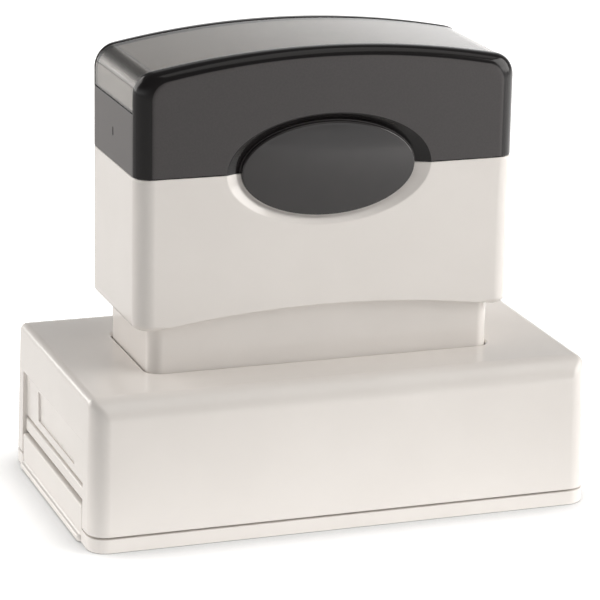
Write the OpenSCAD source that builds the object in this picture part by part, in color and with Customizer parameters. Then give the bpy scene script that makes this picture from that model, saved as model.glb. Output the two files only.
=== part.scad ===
// Pre-inked hand stamp: a die that springs back into a skirt, a handle that pulls off, and a dust cap.
// The stamp stands on its dust cap. The origin is on the floor under the middle of the cap.
// X runs along the length, Y from front to back and Z up. Sizes are in millimetres.

/* [Base] */
// Length of the base at its lower edge
base_length = 90; // [80:1:110]
// Depth of the base at its lower edge, front to back
base_depth = 52; // [46:1:64]
// Height of the top of the base above the floor
base_height = 26.3; // [24.5:0.1:32]
// Draft of the outer walls of the base, in degrees
base_draft = 1.25; // [0:0.05:2]
// Radius of the upright edges of the base and the cap
base_corner = 3.4; // [3:0.1:4]
// Radius of the top edges along the front and back of the base
base_edge = 4; // [3:0.1:5]
// Radius of the top edges at the ends of the base
base_end_edge = 1.4; // [0.8:0.1:2.5]
// Wall of the base, at its foot
base_wall = 2.8; // [2.6:0.1:3.4]
// Top wall of the base
base_top_wall = 2.2; // [1.6:0.1:3]
// Wall of the collar that guides the neck
collar_wall = 1.6; // [1.2:0.1:2.4]
// Wall round a screw hole in a boss of the base or the neck
boss_wall = 1.6; // [1.2:0.1:2]

/* [End panels] */
// Width of the recessed panel at each end of the base
panel_width = 40.2; // [34:0.1:42]
// Height of the top of the panel above the floor
panel_top = 17.9; // [17:0.1:20.5]
// Depth of the panel in the end wall, at its top
panel_recess = 0.6; // [0.4:0.05:0.8]
// Width of the sunk rectangle in the panel
mark_width = 24; // [12:0.5:30]
// Height of the sunk rectangle
mark_height = 5.4; // [3:0.1:6]
// Depth of the sunk rectangle below the panel
mark_recess = 0.4; // [0.2:0.05:0.5]
// Lower edge of the panel above the floor, where its groove is
panel_foot = 9.9; // [9.5:0.1:12]
// Height of the groove under the panel
panel_groove = 0.55; // [0.4:0.05:0.8]
// Depth of the groove under the panel, below the channel of the ear
groove_recess = 0.3; // [0.1:0.05:0.6]
// Height of the rib between the panel and the cap's ear
rib_height = 2.1; // [1.2:0.1:3]

/* [Dust cap] */
// Floor of the dust cap, which the skirt stands on
cap_floor = 1.3; // [1.1:0.1:1.6]
// Depth of the well in the floor, which keeps the cap off the die
cap_well = 0.5; // [0.3:0.05:0.6]
// Height of the rim of the cap
cap_rim = 2.5; // [2.2:0.1:3]
// Wall of the rim of the cap
cap_rim_wall = 1.2; // [1:0.05:1.3]
// Dark gap between the rim and the lower edge of the base
groove_gap = 0.35; // [0.2:0.05:0.6]
// Gap between the ears and the rib over them
ear_gap = 0.65; // [0.3:0.05:1]
// Depth of the outer face of an ear below the end of the base
ear_sink = 0.05; // [0.05:0.05:0.3]
// Radius of the finger bead at each end
bead_radius = 0.6; // [0.4:0.05:0.7]
// Radius of the hollow between the ear and the bead
cove_radius = 0.7; // [0.4:0.05:0.9]
// Turn of the hollow before it runs into the bead, in degrees
cove_turn = 65; // [55:1:70]
// Length of the finger bead
bead_length = 39; // [30:0.5:41]
// Lift of the finger bead off the floor
bead_lift = 0.1; // [0.05:0.05:0.3]

/* [Neck] */
// Length of the neck
neck_length = 62; // [56:0.5:70]
// Depth of the neck, front to back
neck_depth = 24.8; // [22:0.1:28]
// Radius of the upright edges of the neck
neck_edge = 2.5; // [2:0.1:3]
// Wall of the neck
neck_wall = 1.8; // [1.4:0.1:2]
// Thickness of the deck that closes the neck
deck_thick = 2; // [1.6:0.1:3]
// Depth of the neck in the handle
socket_depth = 11; // [8:0.5:14]
// Radius of the two ink tubes in the neck, outside
tube_radius = 2.6; // [2.2:0.1:2.8]
// Radius of the bore of an ink tube
ink_bore = 1.6; // [1:0.1:1.8]
// Gap between an ink tube and the end wall of the neck
tube_gap = 0.6; // [0.3:0.1:1.5]
// Radius of the mouth of an ink well
well_radius = 2.8; // [2:0.1:3]
// Depth of the funnel of an ink well
well_depth = 1.2; // [0.6:0.1:1.5]
// Length of the threaded boss under the deck
nut_length = 4; // [2:0.5:8]
// Wall of the threaded boss under the deck
nut_wall = 1; // [0.8:0.1:1.4]

/* [Handle] */
// End wall of the handle, round the neck
handle_end_wall = 2.7; // [2:0.1:4]
// Front and back wall of the handle, round the neck
handle_wall = 1.85; // [1.6:0.05:3]
// Radius of the upright edges of the handle
handle_edge = 3.3; // [2.5:0.1:4]
// Gap left between the handle and the base at the end of the stroke
press_gap = 0.9; // [0.5:0.1:2]
// Rise of the arched lower edge at its middle
arch_rise = 2.5; // [1:0.1:4]
// Height of the lower shell at its ends
lower_height = 26.3; // [24:0.1:30]
// Height of the upper shell at the middle of its crown
upper_height = 20.8; // [19:0.1:24]
// Radius of the crown along the length
crown_radius = 160; // [120:1:300]
// Radius between the crown and the ends
crown_corner = 4; // [3.5:0.1:6]
// Radius along the front and back edges of the crown
crown_edge = 1.8; // [1:0.1:2.4]
// Wall of the upper shell
upper_wall = 4; // [3.6:0.1:5]
// Thickness of the crown over the hollow of the upper shell
upper_roof = 3; // [2.4:0.1:3.3]
// Height of the tongue of the upper shell in the lower one
tongue_height = 3; // [2:0.1:4]
// Thickness of the ribs that press on the deck
rib_thick = 1.8; // [1.2:0.1:2.4]
// Place of the ribs from the middle
rib_place = 12; // [9:0.1:13]
// Height of the latch slot in each end of the upper shell
slot_height = 1.6; // [1:0.1:4]
// Width of the latch slot
slot_width = 0.5; // [0.4:0.1:1.5]
// Depth of the latch slot
slot_recess = 0.8; // [0.4:0.1:1]
// Height of the latch slot above the seam
slot_rise = 4.5; // [2:0.1:6]

/* [Window and label] */
// Width of the front and back rims beside the window
crown_rim_width = 2.9; // [2.5:0.1:5]
// Wall of the window
window_wall = 1; // [0.7:0.05:1.2]
// Depth of the outer face of the window below the crown
window_sink = 0.12; // [0.05:0.01:0.3]
// Drop of the foot of the window below the crown
window_drop = 10; // [8:0.1:12]
// Thickness of the label
label_thick = 0.12; // [0.1:0.01:0.16]
// Length of the label
label_length = 59.6; // [40:0.2:60]
// Margin between the label and the sides of the window
label_margin = 0.9; // [0.4:0.1:3]

/* [Badge] */
// Length of the badge
badge_length = 31; // [26:0.5:33]
// Height of the badge
badge_height = 16.2; // [14:0.2:17]
// Width of the dished recess beside the badge
dish_side = 2.75; // [1.5:0.05:4]
// Width of the dished recess over and under the badge
dish_rise = 1.45; // [0.8:0.05:2.5]
// Depth of the dished recess
dish_depth = 1.2; // [0.8:0.05:1.3]
// Gap between the badge and the foot of the dish
badge_gap = 0.3; // [0.2:0.05:0.6]
// Thickness of the edge of the badge
badge_rim = 0.5; // [0.3:0.05:0.8]
// Rise of the dome of the badge over its edge
badge_rise = 1.1; // [0.6:0.05:1.6]

/* [Die and carriage] */
// Stroke of the die
stroke = 7; // [6:0.1:7.5]
// Height of the raised printing face over the flange of the die
die_relief = 1; // [0.6:0.1:1.4]
// Thickness of the flange of the die
die_flange = 1; // [0.6:0.1:1.4]
// Width of the flange round the printing face
die_ledge = 1; // [0.8:0.1:1.6]
// Wall of the frame that holds the die
frame_wall = 1; // [0.8:0.05:1.3]
// Thickness of the lip of the frame under the die
frame_lip = 0.6; // [0.4:0.05:0.8]
// Wall of the rim of the carriage, inside the frame
carriage_rim = 1; // [0.8:0.05:1.3]
// Radius of the upright edges of the carriage and its frame
carriage_edge = 1; // [0.4:0.1:1.5]
// Thickness of the plate of the carriage
plate_thick = 2; // [1.8:0.1:2.5]
// Thickness of the adhesive film over the pad
film_thick = 0.2; // [0.1:0.05:0.4]

/* [Springs and screws] */
// Thickness of the crossbars
crossbar_thick = 2.6; // [2.2:0.1:3]
// Width of the crossbars
crossbar_width = 9; // [8:0.1:11]
// Gap between a crossbar and the ink tube beside it
crossbar_gap = 0.9; // [0.4:0.1:2]
// Diameter of the spring wire
spring_wire = 0.8; // [0.6:0.05:1]
// Diameter of a spring, outside
spring_diameter = 7.6; // [7:0.1:8]
// Number of turns in a spring
spring_turns = 10; // [8:1:11]
// Height of the post inside each spring
post_height = 6; // [3:0.5:8]
// Radius of the shank of the small screws
screw_radius = 1.2; // [1:0.05:1.4]
// Radius of the head of the small screws
screw_head = 2.2; // [1.8:0.05:2.4]
// Thickness of the head of the small screws
screw_head_thick = 1.1; // [0.8:0.05:1.2]
// Length of the shank of the small screws
screw_length = 7; // [4:0.1:7.4]
// Radius of the shank of the depth screws
depth_screw_radius = 1.5; // [1.2:0.05:1.6]
// Radius of the head of the depth screws
depth_head_radius = 2.8; // [2.2:0.05:2.9]
// Thickness of the head of the depth screws
depth_head_thick = 1.8; // [1.2:0.1:2.4]
// Width of the driver slot in the screw heads
driver_slot = 0.7; // [0.5:0.1:1]
// Height of the stop under each depth screw
stop_height = 2.5; // [1.5:0.1:4]
// Radius of the stop under each depth screw
stop_radius = 2; // [1.6:0.1:2.2]
// Gap between that stop and the wall of the neck
stop_gap = 0.8; // [0.4:0.1:1.2]

/* [Clearances] */
// Gap round a piece that slides in another
slide_fit = 0.2; // [0.15:0.01:0.3]
// Gap round a piece that sits in another
seat_fit = 0.15; // [0.1:0.01:0.2]
// Gap round a screw in its hole
screw_fit = 0.05; // [0.03:0.01:0.1]
// Gap between the carriage and the walls of the base
carriage_gap = 0.4; // [0.3:0.05:0.8]
// Gap over a crossbar at the end of the stroke
notch_gap = 0.3; // [0.2:0.05:0.4]
// Gap beside a crossbar in its notch
notch_side = 0.5; // [0.3:0.05:0.8]
// Cover over the notches of the neck, below the top of the base
notch_cover = 0.45; // [0.3:0.05:0.6]
// Gap over and under the label
label_fit = 0.03; // [0.02:0.01:0.06]
// Spare depth of a screw hole past the end of its screw
hole_spare = 0.5; // [0.2:0.1:1]

/* [Hidden] */
$fn = 48;

// A cut runs this far past the faces that it opens
over = 1;
// Thickness of one slice of a loft, and the least radius of a slice
leaf = 0.01;
least_edge = 0.05;
// Sides of the wire of a spring, rings to a turn, and the flat share of a turn at each end
wire_sides = 6;
turn_rings = 8;
flat_turn = 0.4;
// Steps of a quarter round, of the crown and of an oval, and how far the dome of the badge is rounded
round_steps = 6;
crown_steps = 24;
oval_steps = 64;
dome_lean = 84;
// Sides of the circles of a loft and of the wide arch
loft_sides = 32;
arch_sides = 256;

// Heights, from the floor up
foot = cap_floor;
skirt_edge = cap_rim + groove_gap;
die_face = foot + stroke;
flange_foot = die_face + die_relief;
pad_foot = flange_foot + die_flange;
crossbar_top = base_height - notch_cover - notch_gap - stroke;
crossbar_foot = crossbar_top - crossbar_thick;
plate_top = crossbar_foot;
plate_foot = plate_top - plate_thick;
film_foot = plate_foot - film_thick;
collar_foot = crossbar_top + notch_gap;
top_inside = base_height - base_top_wall;
handle_foot = base_height + stroke + press_gap;
deck_top = handle_foot + socket_depth;
deck_foot = deck_top - deck_thick;
seam = handle_foot + lower_height;
crown = seam + upper_height;
window_foot = crown - window_drop;
tongue_foot = seam - tongue_height;

// Inside of the base, and the carriage that moves in it
cavity_length = base_length - 2 * base_wall;
cavity_depth = base_depth - 2 * base_wall;
cavity_edge = max(base_corner - base_wall, least_edge);
lip_inset = cap_rim_wall + slide_fit;
frame_length = cavity_length - 2 * carriage_gap;
frame_depth = cavity_depth - 2 * carriage_gap;
frame_hole_length = frame_length - 2 * frame_wall;
frame_hole_depth = frame_depth - 2 * frame_wall;
rim_length = frame_hole_length - 2 * seat_fit;
rim_depth = frame_hole_depth - 2 * seat_fit;
pad_length = rim_length - 2 * (carriage_rim + seat_fit);
pad_depth = rim_depth - 2 * (carriage_rim + seat_fit);
pad_edge = carriage_edge / 2;
die_length = pad_length - 2 * die_ledge;
die_depth = pad_depth - 2 * die_ledge;

// Inside of the neck and of the handle
neck_inner_length = neck_length - 2 * neck_wall;
neck_inner_depth = neck_depth - 2 * neck_wall;
neck_inner_edge = max(neck_edge - neck_wall, least_edge);
boss_radius = screw_radius + screw_fit + boss_wall;
neck_boss_inset = boss_radius - boss_wall / 2;
neck_boss_x = neck_inner_length / 2 - neck_boss_inset;
neck_boss_y = neck_inner_depth / 2 - neck_boss_inset;
tube_x = neck_inner_length / 2 - tube_radius - tube_gap;
spring_x = tube_x - tube_radius - crossbar_gap - crossbar_width / 2;
depth_screw_y = neck_inner_depth / 2 - stop_gap - stop_radius;
notch_width = crossbar_width + 2 * notch_side;
notch_top = crossbar_top + stroke + notch_gap;
post_radius = (spring_diameter / 2 - spring_wire) * cos(180 / turn_rings) - slide_fit;
socket_length = neck_length + 2 * slide_fit;
socket_width = neck_depth + 2 * slide_fit;
socket_edge = neck_edge + slide_fit;
handle_length = socket_length + 2 * handle_end_wall;
handle_depth = socket_width + 2 * handle_wall;
arch_radius = (neck_length * neck_length / 4 + arch_rise * arch_rise) / (2 * arch_rise);

// Places of the screws, and of the recesses in the end walls
crossbar_screw_y = (socket_width / 2 + collar_wall + cavity_depth / 2) / 2;
end_x = base_length / 2;
end_lean = tan(base_draft);
channel_x = end_x - lip_inset;
panel_x = end_x - end_lean * (panel_top - skirt_edge) - panel_recess;
groove_x = channel_x - groove_recess;
groove_foot = panel_foot - panel_groove;
rib_foot = groove_foot - rib_height;
rib_x = panel_x + panel_recess / 2;
mark_foot = (panel_foot + panel_top - mark_height) / 2;
ear_top = rib_foot - ear_gap;
ear_width = panel_width - 4 * slide_fit;
bead_z = bead_lift + bead_radius;
cove_x = end_x - ear_sink + cove_radius;
bead_x = cove_x - (cove_radius + bead_radius) * cos(cove_turn);
cove_z = bead_z + (cove_radius + bead_radius) * sin(cove_turn);

// Window, label and badge
window_band = handle_depth - 2 * crown_rim_width;
window_width = window_band - 2 * seat_fit;
label_width = window_width - 2 * label_margin;
label_sink = window_sink + window_wall + label_fit;
window_floor = label_sink + label_thick + label_fit;
dish_length = badge_length + 2 * dish_side;
dish_height = badge_height + 2 * dish_rise;

// Points of an arc
function arc(x, y, r, from, to, steps) =
  [for (i = [0:steps]) let (t = from + (to - from) * i / steps) [x + r * cos(t), y + r * sin(t)]];

// Points of an oval
function oval(length, height) =
  [for (i = [0:oval_steps - 1]) let (t = 360 * i / oval_steps) [length / 2 * cos(t), height / 2 * sin(t)]];

// Outline of the handle from the front, from one foot over the crown to the other,
// moved in by inset: length and top are those of the outline before it is moved
function crown_outline(length, top, bottom, inset = 0) =
  let (
    half = length / 2 - crown_corner,
    centre = top - crown_radius,
    rise = sqrt(pow(crown_radius - crown_corner, 2) - half * half),
    lean = atan2(rise, half)
  )
  concat(
    [[length / 2 - inset, bottom]],
    arc(half, centre + rise, crown_corner - inset, 0, lean, round_steps),
    arc(0, centre, crown_radius - inset, lean, 180 - lean, crown_steps),
    arc(-half, centre + rise, crown_corner - inset, 180 - lean, 180, round_steps),
    [[inset - length / 2, bottom]]
  );

// What a round of radius r takes off a side at depth s from the face
function round_off(r, s) = s < r ? r - sqrt(r * r - (r - s) * (r - s)) : 0;

module rounded_rect(length, depth, edge) {
  square([length - 2 * edge, depth], center = true);
  square([length, depth - 2 * edge], center = true);
  for (x = [-1, 1], y = [-1, 1])
    translate([x * (length / 2 - edge), y * (depth / 2 - edge)]) circle(edge);
}

// Upright block with rounded edges between two heights
module block(length, depth, edge, from, to) {
  translate([0, 0, from]) linear_extrude(to - from) rounded_rect(length, depth, edge);
}

// Upright round rod between two heights
module rod(x, y, radius, from, to) {
  translate([x, y, from]) cylinder(r = radius, h = to - from);
}

// Cut in both ends of the base, from x outwards, between two heights
module end_cut(x, width, from, to) {
  for (side = [-1, 1])
    translate([side * (x + (end_x + over)) / 2, 0, (from + to) / 2])
      cube([end_x + over - x, width, to - from], center = true);
}

// Lays a flat shape on the front of the handle, at the middle of the seam, with its height outwards
module on_front() {
  translate([0, -handle_depth / 2, seam]) rotate([90, 0, 0]) children();
}

// Extrudes an outline seen from the front, evenly to front and back
module from_front(depth) {
  rotate([90, 0, 0]) linear_extrude(depth, center = true) children();
}

// One slice of the outside of the base, moved in at its ends and its sides
module base_slice(height, end_inset, side_inset, edge) {
  translate([0, 0, height]) linear_extrude(leaf)
    rounded_rect(base_length - 2 * end_inset, base_depth - 2 * side_inset, edge, $fn = loft_sides);
}

// Depths below the top at which a round of radius r is sliced
function round_depths(r) = [for (i = [0:round_steps]) r * (1 - sin(90 * i / round_steps))];

// Outside of the base: walls with draft, and rounds that turn them into the top, small ones at the ends
module base_outside() {
  hull() {
    base_slice(skirt_edge, 0, 0, base_corner);
    for (s = concat(round_depths(base_edge), round_depths(base_end_edge))) {
      lean = end_lean * (base_height - s - skirt_edge);
      end_inset = lean + round_off(base_end_edge, s);
      side_round = round_off(base_edge, s);
      base_slice(
        base_height - s - leaf, end_inset, lean + side_round, max(base_corner - side_round, least_edge)
      );
    }
  }
}

module base_skirt() color("ivory") {
  difference() {
    union() {
      difference() {
        union() {
          base_outside();
          block(
            base_length - 2 * lip_inset, base_depth - 2 * lip_inset, base_corner - lip_inset,
            foot, skirt_edge + over
          );
        }
        block(cavity_length, cavity_depth, cavity_edge, foot - over, top_inside);
      }
      block(
        socket_length + 2 * collar_wall, socket_width + 2 * collar_wall, socket_edge + collar_wall,
        collar_foot, top_inside + base_top_wall / 2
      );
      for (x = [-1, 1], y = [-1, 1])
        rod(x * spring_x, y * crossbar_screw_y, boss_radius, crossbar_top, top_inside + base_top_wall / 2);
    }
    block(socket_length, socket_width, socket_edge, collar_foot - over, base_height + over);
    for (x = [-1, 1], y = [-1, 1])
      rod(
        x * spring_x, y * crossbar_screw_y, screw_radius + screw_fit,
        crossbar_top - over, crossbar_foot + screw_head_thick + screw_length + hole_spare
      );
    end_cut(channel_x, panel_width, foot - over, rib_foot);
    end_cut(rib_x, panel_width, rib_foot - leaf, groove_foot);
    end_cut(groove_x, panel_width, groove_foot - leaf, panel_foot);
    end_cut(panel_x, panel_width, panel_foot - leaf, panel_top);
    end_cut(panel_x - mark_recess, mark_width, mark_foot, mark_foot + mark_height);
  }
}

// Hole through a plate for a small screw, with room for its head in the underside
module screw_hole(x, y, from, to) {
  rod(x, y, screw_radius + screw_fit, from - over, to + over);
  rod(x, y, screw_head + seat_fit, from - over, from + screw_head_thick);
}

// Bar across the base with the post of a spring and the stop of a depth screw
module crossbar(side) {
  x = side * spring_x;
  middle = (crossbar_foot + crossbar_top) / 2;
  difference() {
    union() {
      translate([x, 0, middle])
        cube([crossbar_width, cavity_depth - 2 * slide_fit, crossbar_thick], center = true);
      rod(x, 0, post_radius, middle, crossbar_top + post_height);
      rod(x, depth_screw_y, stop_radius, middle, crossbar_top + stop_height);
    }
    for (y = [-1, 1]) screw_hole(x, y * crossbar_screw_y, crossbar_foot, crossbar_top);
  }
}

module crossbar_left() color("gainsboro") crossbar(-1);

module crossbar_right() color("gainsboro") crossbar(1);

// Small screw with its head down, and a slot in the head
module small_screw(x, y, head_foot) {
  difference() {
    union() {
      rod(x, y, screw_head, head_foot, head_foot + screw_head_thick);
      rod(x, y, screw_radius, head_foot, head_foot + screw_head_thick + screw_length);
    }
    translate([x, y, head_foot]) cube([2 * screw_head + over, driver_slot, screw_head_thick], center = true);
  }
}

module crossbar_screws() color("silver")
  for (x = [-1, 1], y = [-1, 1]) small_screw(x * spring_x, y * crossbar_screw_y, crossbar_foot);

// Bead along the foot of the right ear: a hollow curve that turns into a round one
module finger_bead() {
  from_front(bead_length) polygon(concat(
    arc(cove_x, cove_z, cove_radius, 180, 180 + cove_turn, round_steps),
    arc(bead_x, bead_z, bead_radius, cove_turn, -90, round_steps),
    [[end_x - cap_rim_wall, bead_lift], [end_x - cap_rim_wall, cove_z]]
  ));
}

module dust_cap() color("ivory") {
  difference() {
    union() {
      difference() {
        block(base_length, base_depth, base_corner, 0, cap_rim);
        end_cut(end_x - ear_sink, ear_width, bead_z, cap_rim + over);
      }
      for (side = [-1, 1]) {
        translate([side * (end_x - (cap_rim_wall + ear_sink) / 2), 0, ear_top / 2])
          cube([cap_rim_wall - ear_sink, ear_width, ear_top], center = true);
        mirror([side < 0 ? 1 : 0, 0, 0]) finger_bead();
      }
    }
    block(
      base_length - 2 * cap_rim_wall, base_depth - 2 * cap_rim_wall, base_corner - cap_rim_wall,
      cap_floor, ear_top + over
    );
    block(cavity_length, cavity_depth, cavity_edge, cap_floor - cap_well, cap_floor + over);
  }
}

module neck() color("ivory") {
  difference() {
    union() {
      difference() {
        block(neck_length, neck_depth, neck_edge, plate_top, deck_top);
        block(neck_inner_length, neck_inner_depth, neck_inner_edge, plate_top - over, deck_foot);
      }
      for (x = [-1, 1]) {
        rod(x * tube_x, 0, tube_radius, plate_top, deck_foot + deck_thick / 2);
        rod(
          x * spring_x, depth_screw_y, depth_screw_radius + screw_fit + nut_wall,
          deck_foot - nut_length, deck_foot + deck_thick / 2
        );
        for (y = [-1, 1])
          rod(x * neck_boss_x, y * neck_boss_y, boss_radius, plate_top, deck_foot + deck_thick / 2);
      }
    }
    for (x = [-1, 1]) {
      translate([x * spring_x, 0, (plate_top - over + notch_top) / 2])
        cube([notch_width, neck_depth + 2 * over, notch_top - plate_top + over], center = true);
      rod(x * tube_x, 0, ink_bore, plate_top - over, deck_top + over);
      translate([x * tube_x, 0, deck_top - well_depth])
        cylinder(r1 = ink_bore, r2 = well_radius, h = well_depth + leaf);
      rod(
        x * spring_x, depth_screw_y, depth_screw_radius + screw_fit,
        deck_foot - nut_length - over, deck_top + over
      );
      for (y = [-1, 1])
        rod(
          x * neck_boss_x, y * neck_boss_y, screw_radius + screw_fit,
          plate_top - over, plate_foot + screw_head_thick + screw_length + hole_spare
        );
    }
  }
}

module die_carriage() color("lightgray") {
  difference() {
    union() {
      block(frame_length, frame_depth, carriage_edge, plate_foot, plate_top);
      block(rim_length, rim_depth, carriage_edge, pad_foot, plate_foot + plate_thick / 2);
    }
    block(
      rim_length - 2 * carriage_rim, rim_depth - 2 * carriage_rim, pad_edge,
      pad_foot - over, plate_foot
    );
    for (x = [-1, 1]) {
      rod(x * tube_x, 0, ink_bore, plate_foot - over, plate_top + over);
      for (y = [-1, 1]) screw_hole(x * neck_boss_x, y * neck_boss_y, plate_foot, plate_top);
    }
  }
}

module carriage_screws() color("silver")
  for (x = [-1, 1], y = [-1, 1]) small_screw(x * neck_boss_x, y * neck_boss_y, plate_foot);

module pad_film() color("khaki") {
  difference() {
    block(pad_length, pad_depth, pad_edge, film_foot, plate_foot);
    for (x = [-1, 1]) rod(x * tube_x, 0, ink_bore, film_foot - over, plate_foot + over);
  }
}

module ink_pad() color("dimgray") block(pad_length, pad_depth, pad_edge, pad_foot, film_foot);

module stamp_die() color("darkslategray") {
  block(pad_length, pad_depth, pad_edge, flange_foot, pad_foot);
  block(die_length, die_depth, pad_edge, die_face, flange_foot + die_flange / 2);
}

module die_frame() color("gray") {
  difference() {
    block(frame_length, frame_depth, carriage_edge, flange_foot - frame_lip, plate_foot);
    block(frame_hole_length, frame_hole_depth, carriage_edge, flange_foot, plate_foot + over);
    block(
      die_length + 2 * seat_fit, die_depth + 2 * seat_fit, pad_edge,
      flange_foot - frame_lip - over, flange_foot + over
    );
  }
}

// Middle line of a spring: flat for a part of a turn at each end, rising evenly between
function spring_line(length) =
  let (
    rings = spring_turns * turn_rings,
    radius = (spring_diameter - spring_wire) / 2,
    flat = flat_turn / spring_turns,
    low = spring_wire / 2,
    high = length - spring_wire / 2
  )
  [for (i = [0:rings])
    let (s = min(max((i / rings - flat) / (1 - 2 * flat), 0), 1), t = 360 * i / turn_rings)
      [radius * cos(t), radius * sin(t), low + (high - low) * s]];

function spring_gap(line) =
  min([for (i = [0:len(line) - 1 - turn_rings]) norm(line[i + turn_rings] - line[i])]) - spring_wire;

module coil_spring(length) {
  line = spring_line(length);
  last = len(line) - 1;
  points = [
    for (i = [0:last], k = [0:wire_sides - 1])
      let (t = 360 * i / turn_rings, a = 360 * k / wire_sides, out = spring_wire / 2 * cos(a))
        line[i] + [out * cos(t), out * sin(t), spring_wire / 2 * sin(a)]
  ];
  sides = [
    for (i = [0:last - 1], k = [0:wire_sides - 1])
      let (a = i * wire_sides + k, b = i * wire_sides + (k + 1) % wire_sides)
        each [[a, a + wire_sides, b + wire_sides], [a, b + wire_sides, b]]
  ];
  ends = [
    for (k = [1:wire_sides - 2])
      each [[0, k, k + 1], [last * wire_sides, last * wire_sides + k + 1, last * wire_sides + k]]
  ];
  echo(spring_gap = spring_gap(line));
  polyhedron(points, concat(sides, ends));
}

module return_spring_left() color("silver")
  translate([-spring_x, 0, crossbar_top]) coil_spring(deck_foot - crossbar_top);

module return_spring_right() color("silver")
  translate([spring_x, 0, crossbar_top]) coil_spring(deck_foot - crossbar_top);

module depth_screw(x) {
  head_top = deck_top + depth_head_thick;
  difference() {
    union() {
      rod(x, depth_screw_y, depth_screw_radius, crossbar_top + stop_height + stroke, head_top);
      rod(x, depth_screw_y, depth_head_radius, deck_top, head_top);
    }
    translate([x, depth_screw_y, head_top])
      cube([2 * depth_head_radius + over, driver_slot, depth_head_thick], center = true);
  }
}

module depth_screws() color("goldenrod") for (side = [-1, 1]) depth_screw(side * spring_x);

// Dished oval recess round the badge
module badge_dish() {
  on_front() {
    hull() {
      translate([0, 0, -dish_depth]) linear_extrude(leaf)
        polygon(oval(badge_length + 2 * badge_gap, badge_height + 2 * badge_gap));
      linear_extrude(leaf) polygon(oval(dish_length, dish_height));
    }
    linear_extrude(over) polygon(oval(dish_length, dish_height));
  }
}

module lower_handle() color("ivory") {
  rib_top = tongue_foot - seat_fit;
  difference() {
    union() {
      difference() {
        block(handle_length, handle_depth, handle_edge, handle_foot, seam);
        block(socket_length, socket_width, socket_edge, handle_foot - over, seam + over);
      }
      for (x = [-1, 1])
        translate([x * rib_place, 0, (deck_top + rib_top) / 2])
          cube([rib_thick, socket_width + handle_wall, rib_top - deck_top], center = true);
    }
    translate([0, 0, handle_foot + arch_rise - arch_radius])
      rotate([90, 0, 0])
        cylinder(r = arch_radius, h = handle_depth + 2 * over, center = true, $fn = arch_sides);
    badge_dish();
  }
}

// Front or back rim of the upper shell, lofted inwards from its face
module crown_rim(side) {
  hull() for (i = [0:round_steps]) {
    s = crown_rim_width * (1 - cos(90 * i / round_steps));
    translate([0, side * (handle_depth / 2 - s), 0]) from_front(leaf)
      polygon(
        crown_outline(handle_length - 2 * round_off(handle_edge, s), crown - round_off(crown_edge, s), seam)
      );
  }
}

module upper_handle() color("dimgray") {
  difference() {
    union() {
      for (side = [-1, 1]) crown_rim(side);
      from_front(window_band) {
        polygon(crown_outline(handle_length, crown, seam, window_floor));
        translate([-handle_length / 2, seam]) square([handle_length, window_foot - seam]);
      }
      block(
        socket_length - 2 * seat_fit, socket_width - 2 * seat_fit, socket_edge - seat_fit,
        tongue_foot, seam + over
      );
    }
    intersection() {
      block(
        handle_length - 2 * upper_wall, handle_depth - 2 * upper_wall, neck_edge / 2,
        tongue_foot - over, crown
      );
      from_front(handle_depth)
        polygon(crown_outline(handle_length, crown, tongue_foot - 2 * over, upper_roof));
    }
    for (side = [-1, 1])
      translate([side * handle_length / 2, 0, seam + slot_rise + slot_height / 2])
        cube([2 * slot_recess, slot_width, slot_height], center = true);
    badge_dish();
  }
}

// Strip that follows the crown between two depths below it
module crown_strip(width, sink, thick) {
  from_front(width) difference() {
    polygon(crown_outline(handle_length, crown, window_foot, sink));
    polygon(crown_outline(handle_length, crown, window_foot - over, sink + thick));
  }
}

module index_label() color("white") {
  intersection() {
    crown_strip(label_width, label_sink, label_thick);
    translate([0, 0, crown]) cube([label_length, handle_depth, 2 * window_drop], center = true);
  }
}

module label_window() color("lightgray", 0.5) crown_strip(window_width, window_sink, window_wall);

module badge() color("black") {
  on_front() translate([0, 0, -dish_depth]) {
    linear_extrude(badge_rim) polygon(oval(badge_length, badge_height));
    translate([0, 0, badge_rim]) hull() for (i = [0:round_steps]) {
      t = dome_lean * i / round_steps;
      translate([0, 0, badge_rise * sin(t) - leaf]) linear_extrude(leaf)
        polygon(oval(badge_length * cos(t), badge_height * cos(t)));
    }
  }
}

base_skirt();
crossbar_left();
crossbar_right();
crossbar_screws();
dust_cap();
neck();
die_carriage();
carriage_screws();
pad_film();
ink_pad();
stamp_die();
die_frame();
return_spring_left();
return_spring_right();
depth_screws();
lower_handle();
upper_handle();
index_label();
label_window();
badge();
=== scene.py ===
import math

import bmesh
import bpy
from mathutils import Matrix, Vector


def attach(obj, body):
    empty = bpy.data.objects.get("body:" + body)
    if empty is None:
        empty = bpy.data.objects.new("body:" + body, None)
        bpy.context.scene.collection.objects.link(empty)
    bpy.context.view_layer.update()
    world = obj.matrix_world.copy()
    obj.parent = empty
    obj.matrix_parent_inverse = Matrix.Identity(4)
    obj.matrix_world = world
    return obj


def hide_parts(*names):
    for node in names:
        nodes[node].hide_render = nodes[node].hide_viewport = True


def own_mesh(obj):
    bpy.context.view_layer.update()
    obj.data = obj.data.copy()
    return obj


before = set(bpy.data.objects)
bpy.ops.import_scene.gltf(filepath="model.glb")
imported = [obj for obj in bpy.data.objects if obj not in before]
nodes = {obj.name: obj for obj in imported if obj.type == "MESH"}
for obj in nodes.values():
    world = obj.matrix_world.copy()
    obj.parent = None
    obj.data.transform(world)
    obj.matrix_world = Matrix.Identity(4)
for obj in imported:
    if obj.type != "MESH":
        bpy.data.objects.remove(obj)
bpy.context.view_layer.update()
print("frame loaded, nodes:", len(nodes))

mm = 0.001  # sizes below are in millimetres


# selecting and shaping, as by hand

def only(piece):
    bpy.ops.object.select_all(action="DESELECT")
    piece.select_set(True)
    bpy.context.view_layer.objects.active = piece


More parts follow.
